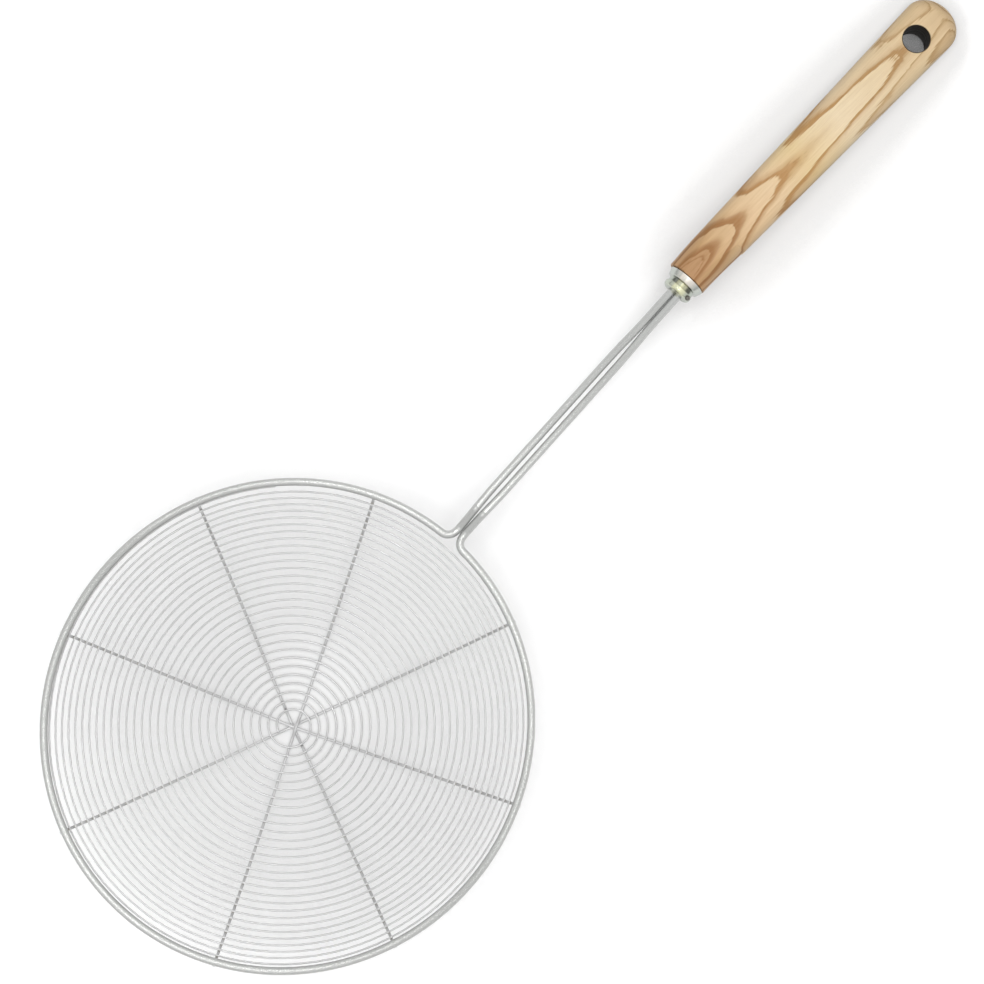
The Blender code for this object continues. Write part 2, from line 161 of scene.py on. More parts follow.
def carve(piece, cutterMesh, operation="DIFFERENCE"):
    cutter = newObject("cutter", cutterMesh)
    modifier = piece.modifiers.new("carve", "BOOLEAN")
    modifier.object = cutter
    modifier.operation = operation
    modifier.solver = "EXACT"
    graph = bpy.context.evaluated_depsgraph_get()
    mesh = bpy.data.meshes.new_from_object(piece.evaluated_get(graph))
    bm = bmesh.new()
    bm.from_mesh(mesh)
    bmesh.ops.dissolve_degenerate(bm, dist=2e-7, edges=bm.edges)
    bm.to_mesh(mesh)
    bm.free()
    piece.modifiers.clear()
    piece.data = mesh
    bpy.data.objects.remove(cutter)


def spunMesh(profile, axis, steps):
    # Closed outline of (along the axis, away from it) points, spun once round X, Y or Z.
    bm = bmesh.new()
    order = {"X": (0, 1, 2), "Y": (1, 0, 2), "Z": (2, 0, 1)}[axis]
    verts = []
    for along, away in profile:
        place = [0.0, 0.0, 0.0]
        place[order[0]] = along
        place[order[1]] = away
        verts.append(bm.verts.new(place))
    edges = [bm.edges.new((verts[i - 1], verts[i])) for i in range(len(verts))]
    turnAxis = [1.0 if i == order[0] else 0.0 for i in range(3)]
    bmesh.ops.spin(
        bm, geom=verts + edges, cent=(0, 0, 0), axis=turnAxis, angle=2 * math.pi, steps=steps, use_merge=True
    )
    bmesh.ops.remove_doubles(bm, verts=bm.verts, dist=1e-7)
    bmesh.ops.recalc_face_normals(bm, faces=bm.faces)
    return bm


def wireObject(name, path, diameter, sides):
    # A drawn wire: a bevelled curve made a mesh, so that its UV map runs along it and round it.
    curve = bpy.data.curves.new(name + "Path", "CURVE")
    curve.dimensions = "3D"
    curve.bevel_depth = diameter / 2
    curve.bevel_resolution = sides // 2 - 2
    curve.use_fill_caps = True
    spline = curve.splines.new("POLY")
    spline.points.add(len(path) - 1)
    for point, place in zip(spline.points, path):
        point.co = (*place, 1.0)
    spline.use_smooth = True
    route = bpy.data.objects.new(name + "Path", curve)
    bpy.context.scene.collection.objects.link(route)
    graph = bpy.context.evaluated_depsgraph_get()
    mesh = bpy.data.meshes.new_from_object(route.evaluated_get(graph))
    bpy.data.objects.remove(route)
    bm = bmesh.new()
    bm.from_mesh(mesh)
    bmesh.ops.remove_doubles(bm, verts=bm.verts, dist=1e-7)
    bmesh.ops.recalc_face_normals(bm, faces=bm.faces)
    return newObject(name, bm)


def pathLength(path):
    return sum(math.dist(path[i], path[i + 1]) for i in range(len(path) - 1))


def filletPoints(before, corner, after, radius, segments):
    before, corner, after = Vector(before), Vector(corner), Vector(after)
    back = (before - corner).normalized()
    ahead = (after - corner).normalized()
    halfTurn = (math.pi - back.angle(ahead)) / 2
    centre = corner + (back + ahead).normalized() * radius / math.cos(halfTurn)
    first = corner + back * radius * math.tan(halfTurn) - centre
    points = []
    for step in range(segments + 1):
        angle = 2 * halfTurn * step / segments
        points.append(centre + first * math.cos(angle) - back * radius * math.sin(angle))
    return [tuple(point) for point in points]


print("frame loaded:", sorted(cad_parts))

# Metals. Drawn stainless wire: the die leaves fine lines along it, so a reflection is spread across the wire
# and stays sharp along it.
drawnSteel = {
    "rod": {"colour": "#bebfbd", "roughness": 0.25, "anisotropy": 1.0, "lineWidth": 0.12, "lineLength": 9.0},
    "basket": {"colour": "#d5d5d5", "roughness": 0.38, "anisotropy": 1.0, "lineWidth": 0.08, "lineLength": 5.0},
}
# What both have alike: slow clouds in the finish, and lines too fine to see as relief.
drawnFinish = {
    "cloudScale": 0.12,
    "cloudShade": 0.93,
    "wearFrom": 0.7,
    "wearTo": 1.3,
    "smoother": 0.02,
    "rougher": 0.03,
    "lineBump": 0.03,
    "lineHeight": 0.04 * mm,
}


def drawnSteelMaterial(name, values, length, diameter):
    material, tree, shader = newMaterial(name)
    uv = addNode(tree, "UVMap", uv_map="UVMap")
    # In millimetres: along the wire, and round it.
    place = addNode(tree, "Mapping", {"Vector": uv, "Scale": (length / mm, math.pi * diameter / mm, 1.0)})
    lineScale = (1 / values["lineLength"], 1 / values["lineWidth"], 1.0)
    lines = addNode(tree, "Mapping", {"Vector": place, "Scale": lineScale})
    drawLines = addNode(tree, "TexNoise", {"Vector": lines, "Scale": 1.0, "Detail": 3.0, "Roughness": 0.6})
    clouds = addNode(tree, "TexNoise", {"Vector": place, "Scale": drawnFinish["cloudScale"], "Detail": 2.0})
    roughness = addNode(
        tree,
        "MapRange",
        {
            "Value": addNode(tree, "Math", {0: drawLines, 1: clouds}, operation="ADD"),
            "From Min": drawnFinish["wearFrom"],
            "From Max": drawnFinish["wearTo"],
            "To Min": values["roughness"] - drawnFinish["smoother"],
            "To Max": values["roughness"] + drawnFinish["rougher"],
        },
    )
    colour = linearColour(values["colour"])
    shaded = [channel * drawnFinish["cloudShade"] for channel in colour[:3]] + [1.0]
    tint = addNode(tree, "MixRGB", {"Fac": clouds, "Color1": colour, "Color2": shaded})
    bump = addNode(
        tree,
        "Bump",
        {"Height": drawLines, "Strength": drawnFinish["lineBump"], "Distance": drawnFinish["lineHeight"]},
    )
    setInputs(
        tree,
        shader,
        {
            "Base Color": tint,
            "Metallic": 1.0,
            "Roughness": roughness,
            "Anisotropic": values["anisotropy"],
            "Anisotropic Rotation": 0.25,
            "Tangent": addNode(tree, "Tangent", direction_type="UV_MAP", uv_map="UVMap"),
            "Normal": bump,
        },
    )
    return material


# The frame wire: one rod that makes the rim, turns out at the neck, cranks up and runs as two legs into the
# wood.
frameWire = {
    "diameter": 2.9 * mm,
    "rimRadius": 87.15 * mm,
    "rimOval": 0.97 * mm,
    "neckBend": 4 * mm,
    "neckGap": 0.3 * mm,
    "neckLength": 1.7 * mm,
    "crankRise": 4.5 * mm,
    "crankAngle": 28,
    "crankBend": 5 * mm,
    "shaftLength": 117.05 * mm,
    "legsTouchGap": 0.06 * mm,
    "legsOpenGap": 1.1 * mm,
    "openingAfterNeck": 20 * mm,
    "closingBeforeTouch": 22 * mm,
    "touchBeforeFerrule": 12.5 * mm,
    "tangLength": 44 * mm,
    "sides": 28,
    "rimSteps": 144,
    "bendSteps": 20,
    "crankSteps": 10,
    "shaftSteps": 60,
}
neckRadius = frameWire["rimRadius"] + frameWire["rimOval"]
neckBendY = (frameWire["diameter"] + frameWire["neckGap"]) / 2 + frameWire["neckBend"]
neckX = math.sqrt((neckRadius + frameWire["neckBend"]) ** 2 - neckBendY**2)
ferruleX = neckX + frameWire["shaftLength"]


def ovalPlace(radius, angle):
    # The bowl is round at the bottom and slightly oval at the rim.
    stretched = radius + frameWire["rimOval"] * (radius / frameWire["rimRadius"]) ** 3 * math.cos(2 * angle)
    return stretched * math.cos(angle), stretched * math.sin(angle)


def legOffset(x):
    values = frameWire
    start = neckX + values["neckLength"]
    opened = smoothStep(x, start, start + values["openingAfterNeck"])
    closeEnd = ferruleX - values["touchBeforeFerrule"]
    closed = smoothStep(x, closeEnd - values["closingBeforeTouch"], closeEnd)
    gap = values["legsTouchGap"] + (values["legsOpenGap"] - values["legsTouchGap"]) * (opened - closed)
    return (values["diameter"] + gap) / 2


def framePath():
    values = frameWire
    neckAngle = math.asin(neckBendY / (neckRadius + values["neckBend"]))
    half = []
    for step in range(values["rimSteps"] + 1):
        angle = math.pi + (neckAngle - math.pi) * step / values["rimSteps"]
        half.append((*ovalPlace(values["rimRadius"], angle), 0.0))
    bendStart = math.pi + neckAngle
    for step in range(1, values["bendSteps"] + 1):
        angle = bendStart + (1.5 * math.pi - bendStart) * step / values["bendSteps"]
        x = neckX + values["neckBend"] * math.cos(angle)
        half.append((x, neckBendY + values["neckBend"] * math.sin(angle), 0.0))
    low = (neckX + values["neckLength"], 0.0, 0.0)
    high = (low[0] + values["crankRise"] / math.tan(math.radians(values["crankAngle"])), 0.0, values["crankRise"])
    end = (ferruleX + values["tangLength"], 0.0, values["crankRise"])
    shaft = filletPoints((neckX, 0.0, 0.0), low, high, values["crankBend"], values["crankSteps"])
    shaft += filletPoints(low, high, end, values["crankBend"], values["crankSteps"])
    run = end[0] - shaft[-1][0]
    steps = values["shaftSteps"]
    shaft += [(shaft[-1][0] + run * step / steps, 0.0, values["crankRise"]) for step in range(1, steps + 1)]
    half += [(x, legOffset(x), z) for x, y, z in shaft]
    return [(x, -y, z) for x, y, z in reversed(half[1:])] + half


rodPath = framePath()
rodSteel = drawnSteelMaterial(
    "drawnStainlessRod", drawnSteel["rod"], pathLength(rodPath), frameWire["diameter"]
)
dress(
    wireObject("frameRod", rodPath, frameWire["diameter"], frameWire["sides"]),
    rodSteel,
    "frame_wire",
)
print("frame rod made")

# The bowl: one thin wire wound as a spiral on a sphere, from the middle out to the inside of the rim.
spiralWire = {
    "diameter": 0.8 * mm,
    "bowlRadius": 106 * mm,
    "pitch": 3.238 * mm,
    "start": 5.25 * mm,
    "startAngle": 157.5,
    "gapToRim": 0.3 * mm,
    "stepsPerTurn": 96,
    "sides": 10,
}
bowlCentreZ = math.sqrt(spiralWire["bowlRadius"] ** 2 - frameWire["rimRadius"] ** 2)


def spiralTurns():
    values = spiralWire
    last = values["bowlRadius"] * math.asin(frameWire["rimRadius"] / values["bowlRadius"])
    last -= (frameWire["diameter"] + values["diameter"]) / 2 + values["gapToRim"]
    return (last - values["start"]) / values["pitch"]


def spiralPlace(turn, depth=0.0):
    # Depth is measured down from the wire's centreline, square to the bowl.
    values = spiralWire
    around = math.radians(values["startAngle"]) - 2 * math.pi * turn
    slope = (values["start"] + values["pitch"] * turn) / values["bowlRadius"]
    reach = values["bowlRadius"] + depth
    return (*ovalPlace(reach * math.sin(slope), around), bowlCentreZ - reach * math.cos(slope))


turnCount = spiralTurns()
spiralSteps = int(turnCount * spiralWire["stepsPerTurn"])
spiralPath = [spiralPlace(step / spiralWire["stepsPerTurn"]) for step in range(spiralSteps + 1)]
spiralPath.append(spiralPlace(turnCount))
spiralSteel = drawnSteelMaterial(
    "drawnStainlessSpiralWire", drawnSteel["basket"], pathLength(spiralPath), spiralWire["diameter"]
)
dress(
    wireObject("spiralWire", spiralPath, spiralWire["diameter"], spiralWire["sides"]),
    spiralSteel,
    "spiral_wire",
)
print("spiral made:", round(turnCount, 2), "turns")

# Four spoke wires under the spiral: each has one direction on either side of the middle and passes it by its
# miss. They cross at the bottom, pressed and welded into each other there.
spokeWires = {
    "diameter": 1.1 * mm,
    "directions": ((-23.7, 157.2), (21.4, 204.8), (64.3, 247.7), (109.7, 292.4)),
    "misses": (-0.2 * mm, -1.7 * mm, -0.3 * mm, 0.1 * mm),
    "layers": (-0.5, 1.5, -1.5, 0.5),
    "layerStep": 0.9 * mm,
    "flatUp": 0.6 * mm,
    "flatDown": 3 * mm,
    "rampUp": 4.4 * mm,
    "rampDown": 8.5 * mm,
    "sinkIntoSpiral": 0.08 * mm,
    "sinkIntoRim": 0.06 * mm,
    "endBend": 1.5 * mm,
    "tip": 0.4 * mm,
    "step": 1.6 * mm,
    "bendSteps": 6,
    "sides": 14,
}
spokeDepth = (spiralWire["diameter"] + spokeWires["diameter"]) / 2 - spokeWires["sinkIntoSpiral"]
spokeRimZ = -((frameWire["diameter"] + spokeWires["diameter"]) / 2 - spokeWires["sinkIntoRim"])


def spokeHalf(layer):
    values = spokeWires
    shell = spiralWire["bowlRadius"] + spokeDepth
    rimSlope = math.acos((bowlCentreZ - spokeRimZ) / shell)
    flat = values["flatUp"] if layer > 0 else values["flatDown"]
    ramp = values["rampUp"] if layer > 0 else values["rampDown"]
    steps = round(rimSlope * shell / values["step"])
    half = []
    for step in range(1, steps):
        length = rimSlope * shell * step / steps
        lift = layer * values["layerStep"] * (1 - smoothStep(length, flat, flat + ramp))
        slope = length / shell if length > flat else 0.0
        radius = (shell - lift) * math.sin(slope) if length > flat else length
        half.append((radius, 0.0, bowlCentreZ - (shell - lift) * math.cos(slope)))
    corner = (shell * math.sin(rimSlope), 0.0, spokeRimZ)
    tip = (frameWire["rimRadius"] + frameWire["diameter"] / 2 + values["tip"], 0.0, spokeRimZ)
    return half + filletPoints(half[-1], corner, tip, values["endBend"], values["bendSteps"]) + [tip]


def spokeArm(direction, miss, layer):
    # From the middle outwards. The miss fades to nothing at the tip.
    half = spokeHalf(layer)
    arm = []
    for radius, y, height in half:
        x, y = ovalPlace(radius, direction)
        beside = miss * (1 - radius / half[-1][0])
        arm.append((x - beside * math.sin(direction), y + beside * math.cos(direction), height))
    return arm


def spokePath(directions, miss, layer):
    first, second = [math.radians(degrees) for degrees in directions]
    bottom = bowlCentreZ - spiralWire["bowlRadius"] - spokeDepth + layer * spokeWires["layerStep"]
    middle = (-miss * math.sin(first), miss * math.cos(first), bottom)
    return spokeArm(second, -miss, layer)[::-1] + [middle] + spokeArm(first, miss, layer)


spokeSteel = None
spokeArms = []
settings = zip(spokeWires["directions"], spokeWires["misses"], spokeWires["layers"])
for number, (directions, miss, layer) in enumerate(settings, 1):
    path = spokePath(directions, miss, layer)
    spokeArms += [(math.radians(directions[0]), miss), (math.radians(directions[1]), -miss)]
    if spokeSteel is None:
        spokeSteel = drawnSteelMaterial(
            "drawnStainlessSpokeWire", drawnSteel["basket"], pathLength(path), spokeWires["diameter"]
        )
    dress(
        wireObject(f"spokeWire{number}", path, spokeWires["diameter"], spokeWires["sides"]),
        spokeSteel,
        f"spoke_wire_{number}",
    )
print("spokes made")

# Resistance welds: a small nugget where the spiral crosses a spoke, and a larger one under the rim.
welds = {
    "crossing": (0.62 * mm, 0.50 * mm, 0.30 * mm),
    "firstCrossing": 10 * mm,
    "attempts": 4,
    "lookAhead": 0.002,
    "sidesRound": 8,
    "sidesDown": 5,
    "rim": (1.1 * mm, 0.75 * mm, 0.55 * mm),
    "colour": "#b9b6ae",
    "spotColour": "#8f8a80",
    "spotScale": 900.0,
    "roughness": 0.42,
    "smoother": 0.1,
    "rougher": 0.12,
    "bump": 0.3,
    "bumpHeight": 0.1 * mm,
}


def weldMaterial():
    # Weld metal: cast and slightly oxidised, so duller than the drawn wire beside it.
    material, tree, shader = newMaterial("stainlessWeldMetal")
    place = addNode(tree, "TexCoord").outputs["Object"]
    spots = addNode(tree, "TexNoise", {"Vector": place, "Scale": welds["spotScale"], "Detail": 3.0})
    tint = addNode(tree, "MixRGB", {"Fac": spots, "Color1": welds["colour"], "Color2": welds["spotColour"]})
    setWornMetal(tree, shader, tint, spots, spots, welds)
    return material


def weldTurn(bm, place, along, outward, size):
    # Along is the direction of the nugget's long axis, outward is square to the bowl.
    side = outward.cross(along).normalized()
    turn = Matrix((along.normalized(), side, outward.normalized())).transposed().to_4x4()
    matrix = Matrix.Translation(place) @ turn @ Matrix.Diagonal((*size, 1.0))
    sides = {"u_segments": welds["sidesRound"], "v_segments": welds["sidesDown"]}
    bmesh.ops.create_uvsphere(bm, **sides, radius=1.0, matrix=matrix)


def crossingTurns():
    # Where the spiral passes over an arm. An arm with a miss is met a little to the side of its direction.
    tip = frameWire["rimRadius"] + frameWire["diameter"] / 2 + spokeWires["tip"]
    found = []
    for direction, miss in spokeArms:
        for whole in range(int(turnCount) + 2):
            turn = whole
            for attempt in range(welds["attempts"]):
                slope = (spiralWire["start"] + spiralWire["pitch"] * turn) / spiralWire["bowlRadius"]
                radius = spiralWire["bowlRadius"] * math.sin(slope)
                met = math.degrees(direction + miss * (1 - radius / tip) / radius)
                turn = whole + ((spiralWire["startAngle"] - met) / 360) % 1.0
            if turn < turnCount and radius > welds["firstCrossing"]:
                found.append(turn)
    return sorted(found)


nuggets = bmesh.new()
bowlCentre = Vector((0.0, 0.0, bowlCentreZ))
for turn in crossingTurns():
    place = Vector(spiralPlace(turn, spokeDepth / 2))
    ahead = Vector(spiralPlace(turn + welds["lookAhead"], spokeDepth / 2)) - place
    weldTurn(nuggets, place, ahead, place - bowlCentre, welds["crossing"])
for direction, miss in spokeArms:
    x, y = ovalPlace(frameWire["rimRadius"], direction)
    place = Vector((x, y, -frameWire["diameter"] / 2))
    weldTurn(nuggets, place, Vector((x, y, 0.0)), Vector((0.0, 0.0, -1.0)), welds["rim"])
weldCount = len(nuggets.faces)
dress(newObject("weldNuggets", nuggets), weldMaterial())
print("welds made:", weldCount, "faces")

# The ferrule: a turned bead, a groove and a band that widens to the wood.
ferrule = {
    "beadLength": 2.3 * mm,
    "beadRadius": 5.7 * mm,
    "grooveLength": 1.5 * mm,
    "grooveRadius": 5.3 * mm,
    "flareLength": 0.4 * mm,
    "bandLength": 2.4 * mm,
    "bandFrontRadius": 6.4 * mm,
    "bandBackRadius": 7.3 * mm,
    "wall": 0.8 * mm,
    "boreRadius": 3.35 * mm,
    "frontWall": 1.2 * mm,
    "legSeat": 0.05 * mm,
    "steps": 128,
    "easeSegments": 6,
    "seatSides": 64,
    # Colours by millimetres from the front, with the groove's darker olive as painted shade, then how grey its
    # sides are, by how far aside they face, as painted shade.
    "colours": [
        (0, "#dcdcb8"), (2.1, "#d6d6b4"), (2.4, "#b0af92"), (3.7, "#b0af92"), (4.1, "#d9d3c8"), (6.6, "#e4ddd4"),
    ],
    "sides": [(0.0, 0.0), (0.35, 0.1), (0.6, 0.75), (1.0, 0.9)],
    "paintedSideShadeAndMarkColour": "#a4aaa5",
    # Painted shade in the groove: its mask along the ferrule, its colour, and where aside it is darkest.
    "groove": [(2.2, 0.0), (2.5, 1.0), (3.6, 1.0), (4.0, 0.0)],
    "paintedGrooveShade": "#3f3e33",
    "grooveShadePlace": 0.58,
    "grooveShadeHalf": (0.08, 0.26),
    "grooveShadeShare": 0.85,
    "markScale": 0.55,
    "markRange": (0.52, 0.7),
    "markShare": 0.5,
    "smearScale": 0.7,
    "roughness": 0.24,
    "smoother": 0.06,
    "rougher": 0.08,
    "turningPitch": 0.16,
    "bump": 0.35,
    "bumpHeight": 0.03 * mm,
}
ferruleLength = sum(ferrule[part] for part in ("beadLength", "grooveLength", "flareLength", "bandLength"))
# Shapes on the shaft's axis are made at the origin and moved to the ferrule's front.
ferruleFront = Vector((ferruleX, 0.0, frameWire["crankRise"]))
toFerrule = Matrix.Translation(ferruleFront)


def turnedSteelMaterial():
    # Stainless steel off the lathe, then polished: faint rings round it, and a warm tint that changes along it.
    # The colours of the groove and the sides carry painted shade.
    material, tree, shader = newMaterial("turnedStainlessSteel")
    place = ownPlace(tree, ferruleFront)
    parts = addNode(tree, "SeparateXYZ", {0: place})
    along, across = parts.outputs["X"], parts.outputs["Y"]
    away = flatLength(tree, across, parts.outputs["Z"])
    aside = addNode(tree, "Math", {0: across, 1: away}, operation="DIVIDE")
    aside = addNode(tree, "Math", {0: aside}, operation="ABSOLUTE")
    rings = addNode(
        tree, "TexNoise", {"W": along, "Scale": 1 / ferrule["turningPitch"], "Detail": 3.0}, noise_dimensions="1D"
    )
    smears = addNode(tree, "TexNoise", {"Vector": place, "Scale": ferrule["smearScale"], "Detail": 3.0})
    length = ferruleLength / mm
    tint = byLength(tree, along, ferrule["colours"], length)
    # Painted shade: the sides are greyed by how far aside they face.
    sides = byLength(tree, aside, ferrule["sides"], 1.0)
    tint = addNode(tree, "MixRGB", {"Fac": sides, "Color1": tint, "Color2": ferrule["paintedSideShadeAndMarkColour"]})
    # Painted shade in the groove, darkest where it turns to the sides.
    inGroove = byLength(tree, along, ferrule["groove"], length)
    grooveShade = addNode(tree, "Math", {0: aside, 1: ferrule["grooveShadePlace"]}, operation="SUBTRACT")
    grooveShade = addNode(tree, "Math", {0: grooveShade}, operation="ABSOLUTE")
    inner, outer = ferrule["grooveShadeHalf"]
    fade = {"Value": grooveShade, "From Min": inner, "From Max": outer, "To Min": ferrule["grooveShadeShare"], "To Max": 0.0}
    grooveShade = addNode(tree, "MapRange", fade, interpolation_type="SMOOTHSTEP")
    grooveShade = addNode(tree, "Math", {0: grooveShade, 1: inGroove}, operation="MULTIPLY")
    tint = addNode(tree, "MixRGB", {"Fac": grooveShade, "Color1": tint, "Color2": ferrule["paintedGrooveShade"]})
    # Faint lengthwise marks, in the same grey as the painted side shade.
    marks = addNode(
        tree, "TexNoise", {"W": across, "Scale": ferrule["markScale"], "Detail": 2.0}, noise_dimensions="1D"
    )
    low, high = ferrule["markRange"]
    marks = addNode(
        tree, "MapRange", {"Value": marks, "From Min": low, "From Max": high, "To Max": ferrule["markShare"]}
    )
    tint = addNode(tree, "MixRGB", {"Fac": marks, "Color1": tint, "Color2": ferrule["paintedSideShadeAndMarkColour"]})
    setWornMetal(tree, shader, tint, smears, rings, ferrule)
    return material


def ferruleMesh():
    values = ferrule
    grooveFront = values["beadLength"]
    grooveBack = grooveFront + values["grooveLength"]
    bandFront = grooveBack + values["flareLength"]
    cup = values["bandFrontRadius"] - values["wall"]
    # Each corner is (along, away, the radius that eases it).
    corners = [
        (0.0, values["beadRadius"], 1.2 * mm),
        (grooveFront, values["beadRadius"], 0.38 * mm),
        (grooveFront, values["grooveRadius"], 0.0),
        (grooveBack, values["grooveRadius"], 0.12 * mm),
        (bandFront, values["bandFrontRadius"], 0.25 * mm),
        (ferruleLength, values["bandBackRadius"], 0.15 * mm),
        (ferruleLength, cup, 0.0),
        (bandFront, cup, 0.0),
        (bandFront, values["boreRadius"], 0.0),
        (values["frontWall"], values["boreRadius"], 0.0),
        (values["frontWall"], values["legSeat"], 0.0),
        (0.0, values["legSeat"], 0.0),
    ]
    bm = spunMesh([(along, away) for along, away, ease in corners], "X", values["steps"])
    for along, away, ease in corners:
        if ease:
            ring = []
            for edge in bm.edges:
                near = [
                    abs(vert.co.x - along) < 1e-6 and abs(math.hypot(vert.co.y, vert.co.z) - away) < 1e-6
                    for vert in edge.verts
                ]
                if all(near):
                    ring.append(edge)
            bmesh.ops.bevel(
                bm,
                geom=ring,
                offset=ease,
                segments=values["easeSegments"],
                profile=0.5,
                affect="EDGES",
                material=-1,
            )
    bm.transform(toFerrule)
    return bm


def legSeat(side):
    # A round seat that a leg passes through in the ferrule's front.
    bm = bmesh.new()
    radius = frameWire["diameter"] / 2 + ferrule["legSeat"]
    bmesh.ops.create_cone(
        bm,
        cap_ends=True,
        segments=ferrule["seatSides"],
        radius1=radius,
        radius2=radius,
        depth=ferrule["frontWall"] * 3,
        matrix=toFerrule
        @ Matrix.Translation((0.0, side * legOffset(ferruleX), 0.0))
        @ Matrix.Rotation(math.pi / 2, 4, "Y"),
    )
    return bm


ferruleSteel = turnedSteelMaterial()
ferrulePiece = newObject("ferruleCollar", ferruleMesh())
for side in (-1, 1):
    carve(ferrulePiece, legSeat(side))
print("ferrule made:", len(ferrulePiece.data.polygons), "faces")
dress(ferrulePiece, ferruleSteel, "ferrule", 35)

# The pin that locks the ferrule, driven into its bead on the right, turned up from the side.
pin = {
    "turn": 38,
    "diameter": 1.2 * mm,
    "headDiameter": 1.9 * mm,
    "headHeight": 0.5 * mm,
    "headEase": 0.3 * mm,
    "headSink": 0.2 * mm,
    "headRise": 0.3 * mm,
    "colour": "#8a8780",
    "dentColour": "#4d4a45",
    "dentScale": 1400.0,
    "dentBump": 0.4,
    "dentDepth": 0.1 * mm,
    "roughness": 0.5,
    "steps": 32,
}


def dullSteelMaterial():
    # Mild steel pin, hammered and dulled by handling.
    material, tree, shader = newMaterial("dulledSteelPin")
    place = addNode(tree, "TexCoord").outputs["Object"]
    dents = addNode(tree, "TexNoise", {"Vector": place, "Scale": pin["dentScale"], "Detail": 3.0})
    tint = addNode(tree, "MixRGB", {"Fac": dents, "Color1": pin["colour"], "Color2": pin["dentColour"]})
    bump = addNode(tree, "Bump", {"Height": dents, "Strength": pin["dentBump"], "Distance": pin["dentDepth"]})
    setInputs(
        tree, shader, {"Base Color": tint, "Metallic": 1.0, "Roughness": pin["roughness"], "Normal": bump}
    )
    return material


def pinMesh():
    neck = -ferrule["beadRadius"] + pin["headSink"]
    top = -ferrule["beadRadius"] - pin["headRise"] - pin["headHeight"]
    profile = [
        (-ferrule["boreRadius"], 0.0),
        (-ferrule["boreRadius"], pin["diameter"] / 2),
        (neck, pin["diameter"] / 2),
        (neck, pin["headDiameter"] / 2),
        (top + pin["headEase"], pin["headDiameter"] / 2),
        (top + pin["headEase"] * 0.3, pin["headDiameter"] * 0.42),
        (top, pin["headDiameter"] * 0.26),
        (top, 0.0),
    ]
    bm = spunMesh(profile, "Y", pin["steps"])
    turn = Matrix.Rotation(math.radians(-pin["turn"]), 4, "X")
    bm.transform(toFerrule @ Matrix.Translation((ferrule["beadLength"] / 2, 0.0, 0.0)) @ turn)
    return bm


dress(newObject("ferrulePinHead", pinMesh()), dullSteelMaterial(), "ferrule_pin", 35)
print("pin made")

# The wood handle: flat-sawn ash, tapered, turned round at its front, with a drilled hanging hole.
handle = {
    "length": 138.5 * mm,
    "frontWidth": 16.0 * mm,
    "endWidth": 21.3 * mm,
    "endRound": 8.7 * mm,
    "frontThickness": 14.6 * mm,
    "endThickness": 13 * mm,
    "edgeRadius": 5 * mm,
    "edgeSegments": 12,
    "sideSteps": 40,
    "endSteps": 56,
    "sideShift": 0.4 * mm,
    "lean": -1.95,
    "frontEdge": 0.4 * mm,
    "turnedRadius": 7.8 * mm,
    "turnedLength": 20 * mm,
    "turnedFlare": 1.1 * mm,
    "tenonRadius": 5.4 * mm,
    "tenonLength": 2.4 * mm,
    "boreRadius": 3.35 * mm,
    "boreDepth": 37 * mm,
    "holeDiameter": 10 * mm,
    "holeToEnd": 16.9 * mm,
    "holeEase": 0.5 * mm,
    "holeSink": 0.02 * mm,
    "gapToFerrule": 0.3 * mm,
    "easeSteps": 4,
    "flareSteps": 12,
    "flareBend": 1.6,
    "holeSteps": 6,
    "turnSteps": 96,
    "boreSides": 64,
}
woodFront = ferruleFront + Vector((ferruleLength + handle["gapToFerrule"], 0.0, 0.0))


def handleCentre(x):
    return handle["sideShift"] + math.tan(math.radians(handle["lean"])) * x


def handleThickness(x):
    share = x / handle["length"]
    return handle["frontThickness"] + (handle["endThickness"] - handle["frontThickness"]) * share


def handleOutline():
    values = handle
    straight = values["length"] - values["endRound"]
    side = [(-values["tenonLength"], values["frontWidth"] / 2)]
    for step in range(values["sideSteps"] + 1):
        share = step / values["sideSteps"]
        width = values["frontWidth"] + (values["endWidth"] - values["frontWidth"]) * share
        side.append((straight * share, width / 2))
    end = []
    for step in range(1, values["endSteps"]):
        angle = -math.pi / 2 + math.pi * step / values["endSteps"]
        y = handleCentre(straight) + values["endWidth"] / 2 * math.sin(angle)
        end.append((straight + values["endRound"] * math.cos(angle), y))
    right = [(x, handleCentre(x) - half) for x, half in side]
    left = [(x, handleCentre(x) + half) for x, half in reversed(side)]
    return right + end + left


def handleBlank():
    bm = bmesh.new()
    base = -handle["frontThickness"] / 2
    lower = bm.faces.new([bm.verts.new((x, y, base)) for x, y in handleOutline()])
    raised = bmesh.ops.extrude_face_region(bm, geom=[lower])
    upper = [item for item in raised["geom"] if isinstance(item, bmesh.types.BMVert)]
    bmesh.ops.translate(bm, verts=upper, vec=(0, 0, handle["frontThickness"]))
    bmesh.ops.recalc_face_normals(bm, faces=bm.faces)
    longEdges = [
        edge
        for edge in bm.edges
        if abs(edge.verts[0].co.z - edge.verts[1].co.z) < 1e-6
        and max(edge.verts[0].co.x, edge.verts[1].co.x) > -handle["tenonLength"] + 1e-6
    ]
    bmesh.ops.bevel(
        bm,
        geom=longEdges,
        offset=handle["edgeRadius"],
        segments=handle["edgeSegments"],
        profile=0.5,
        affect="EDGES",
        material=-1,
        clamp_overlap=True,
    )
    for vert in bm.verts:
        vert.co.z *= handleThickness(vert.co.x) / handle["frontThickness"]
    return bm


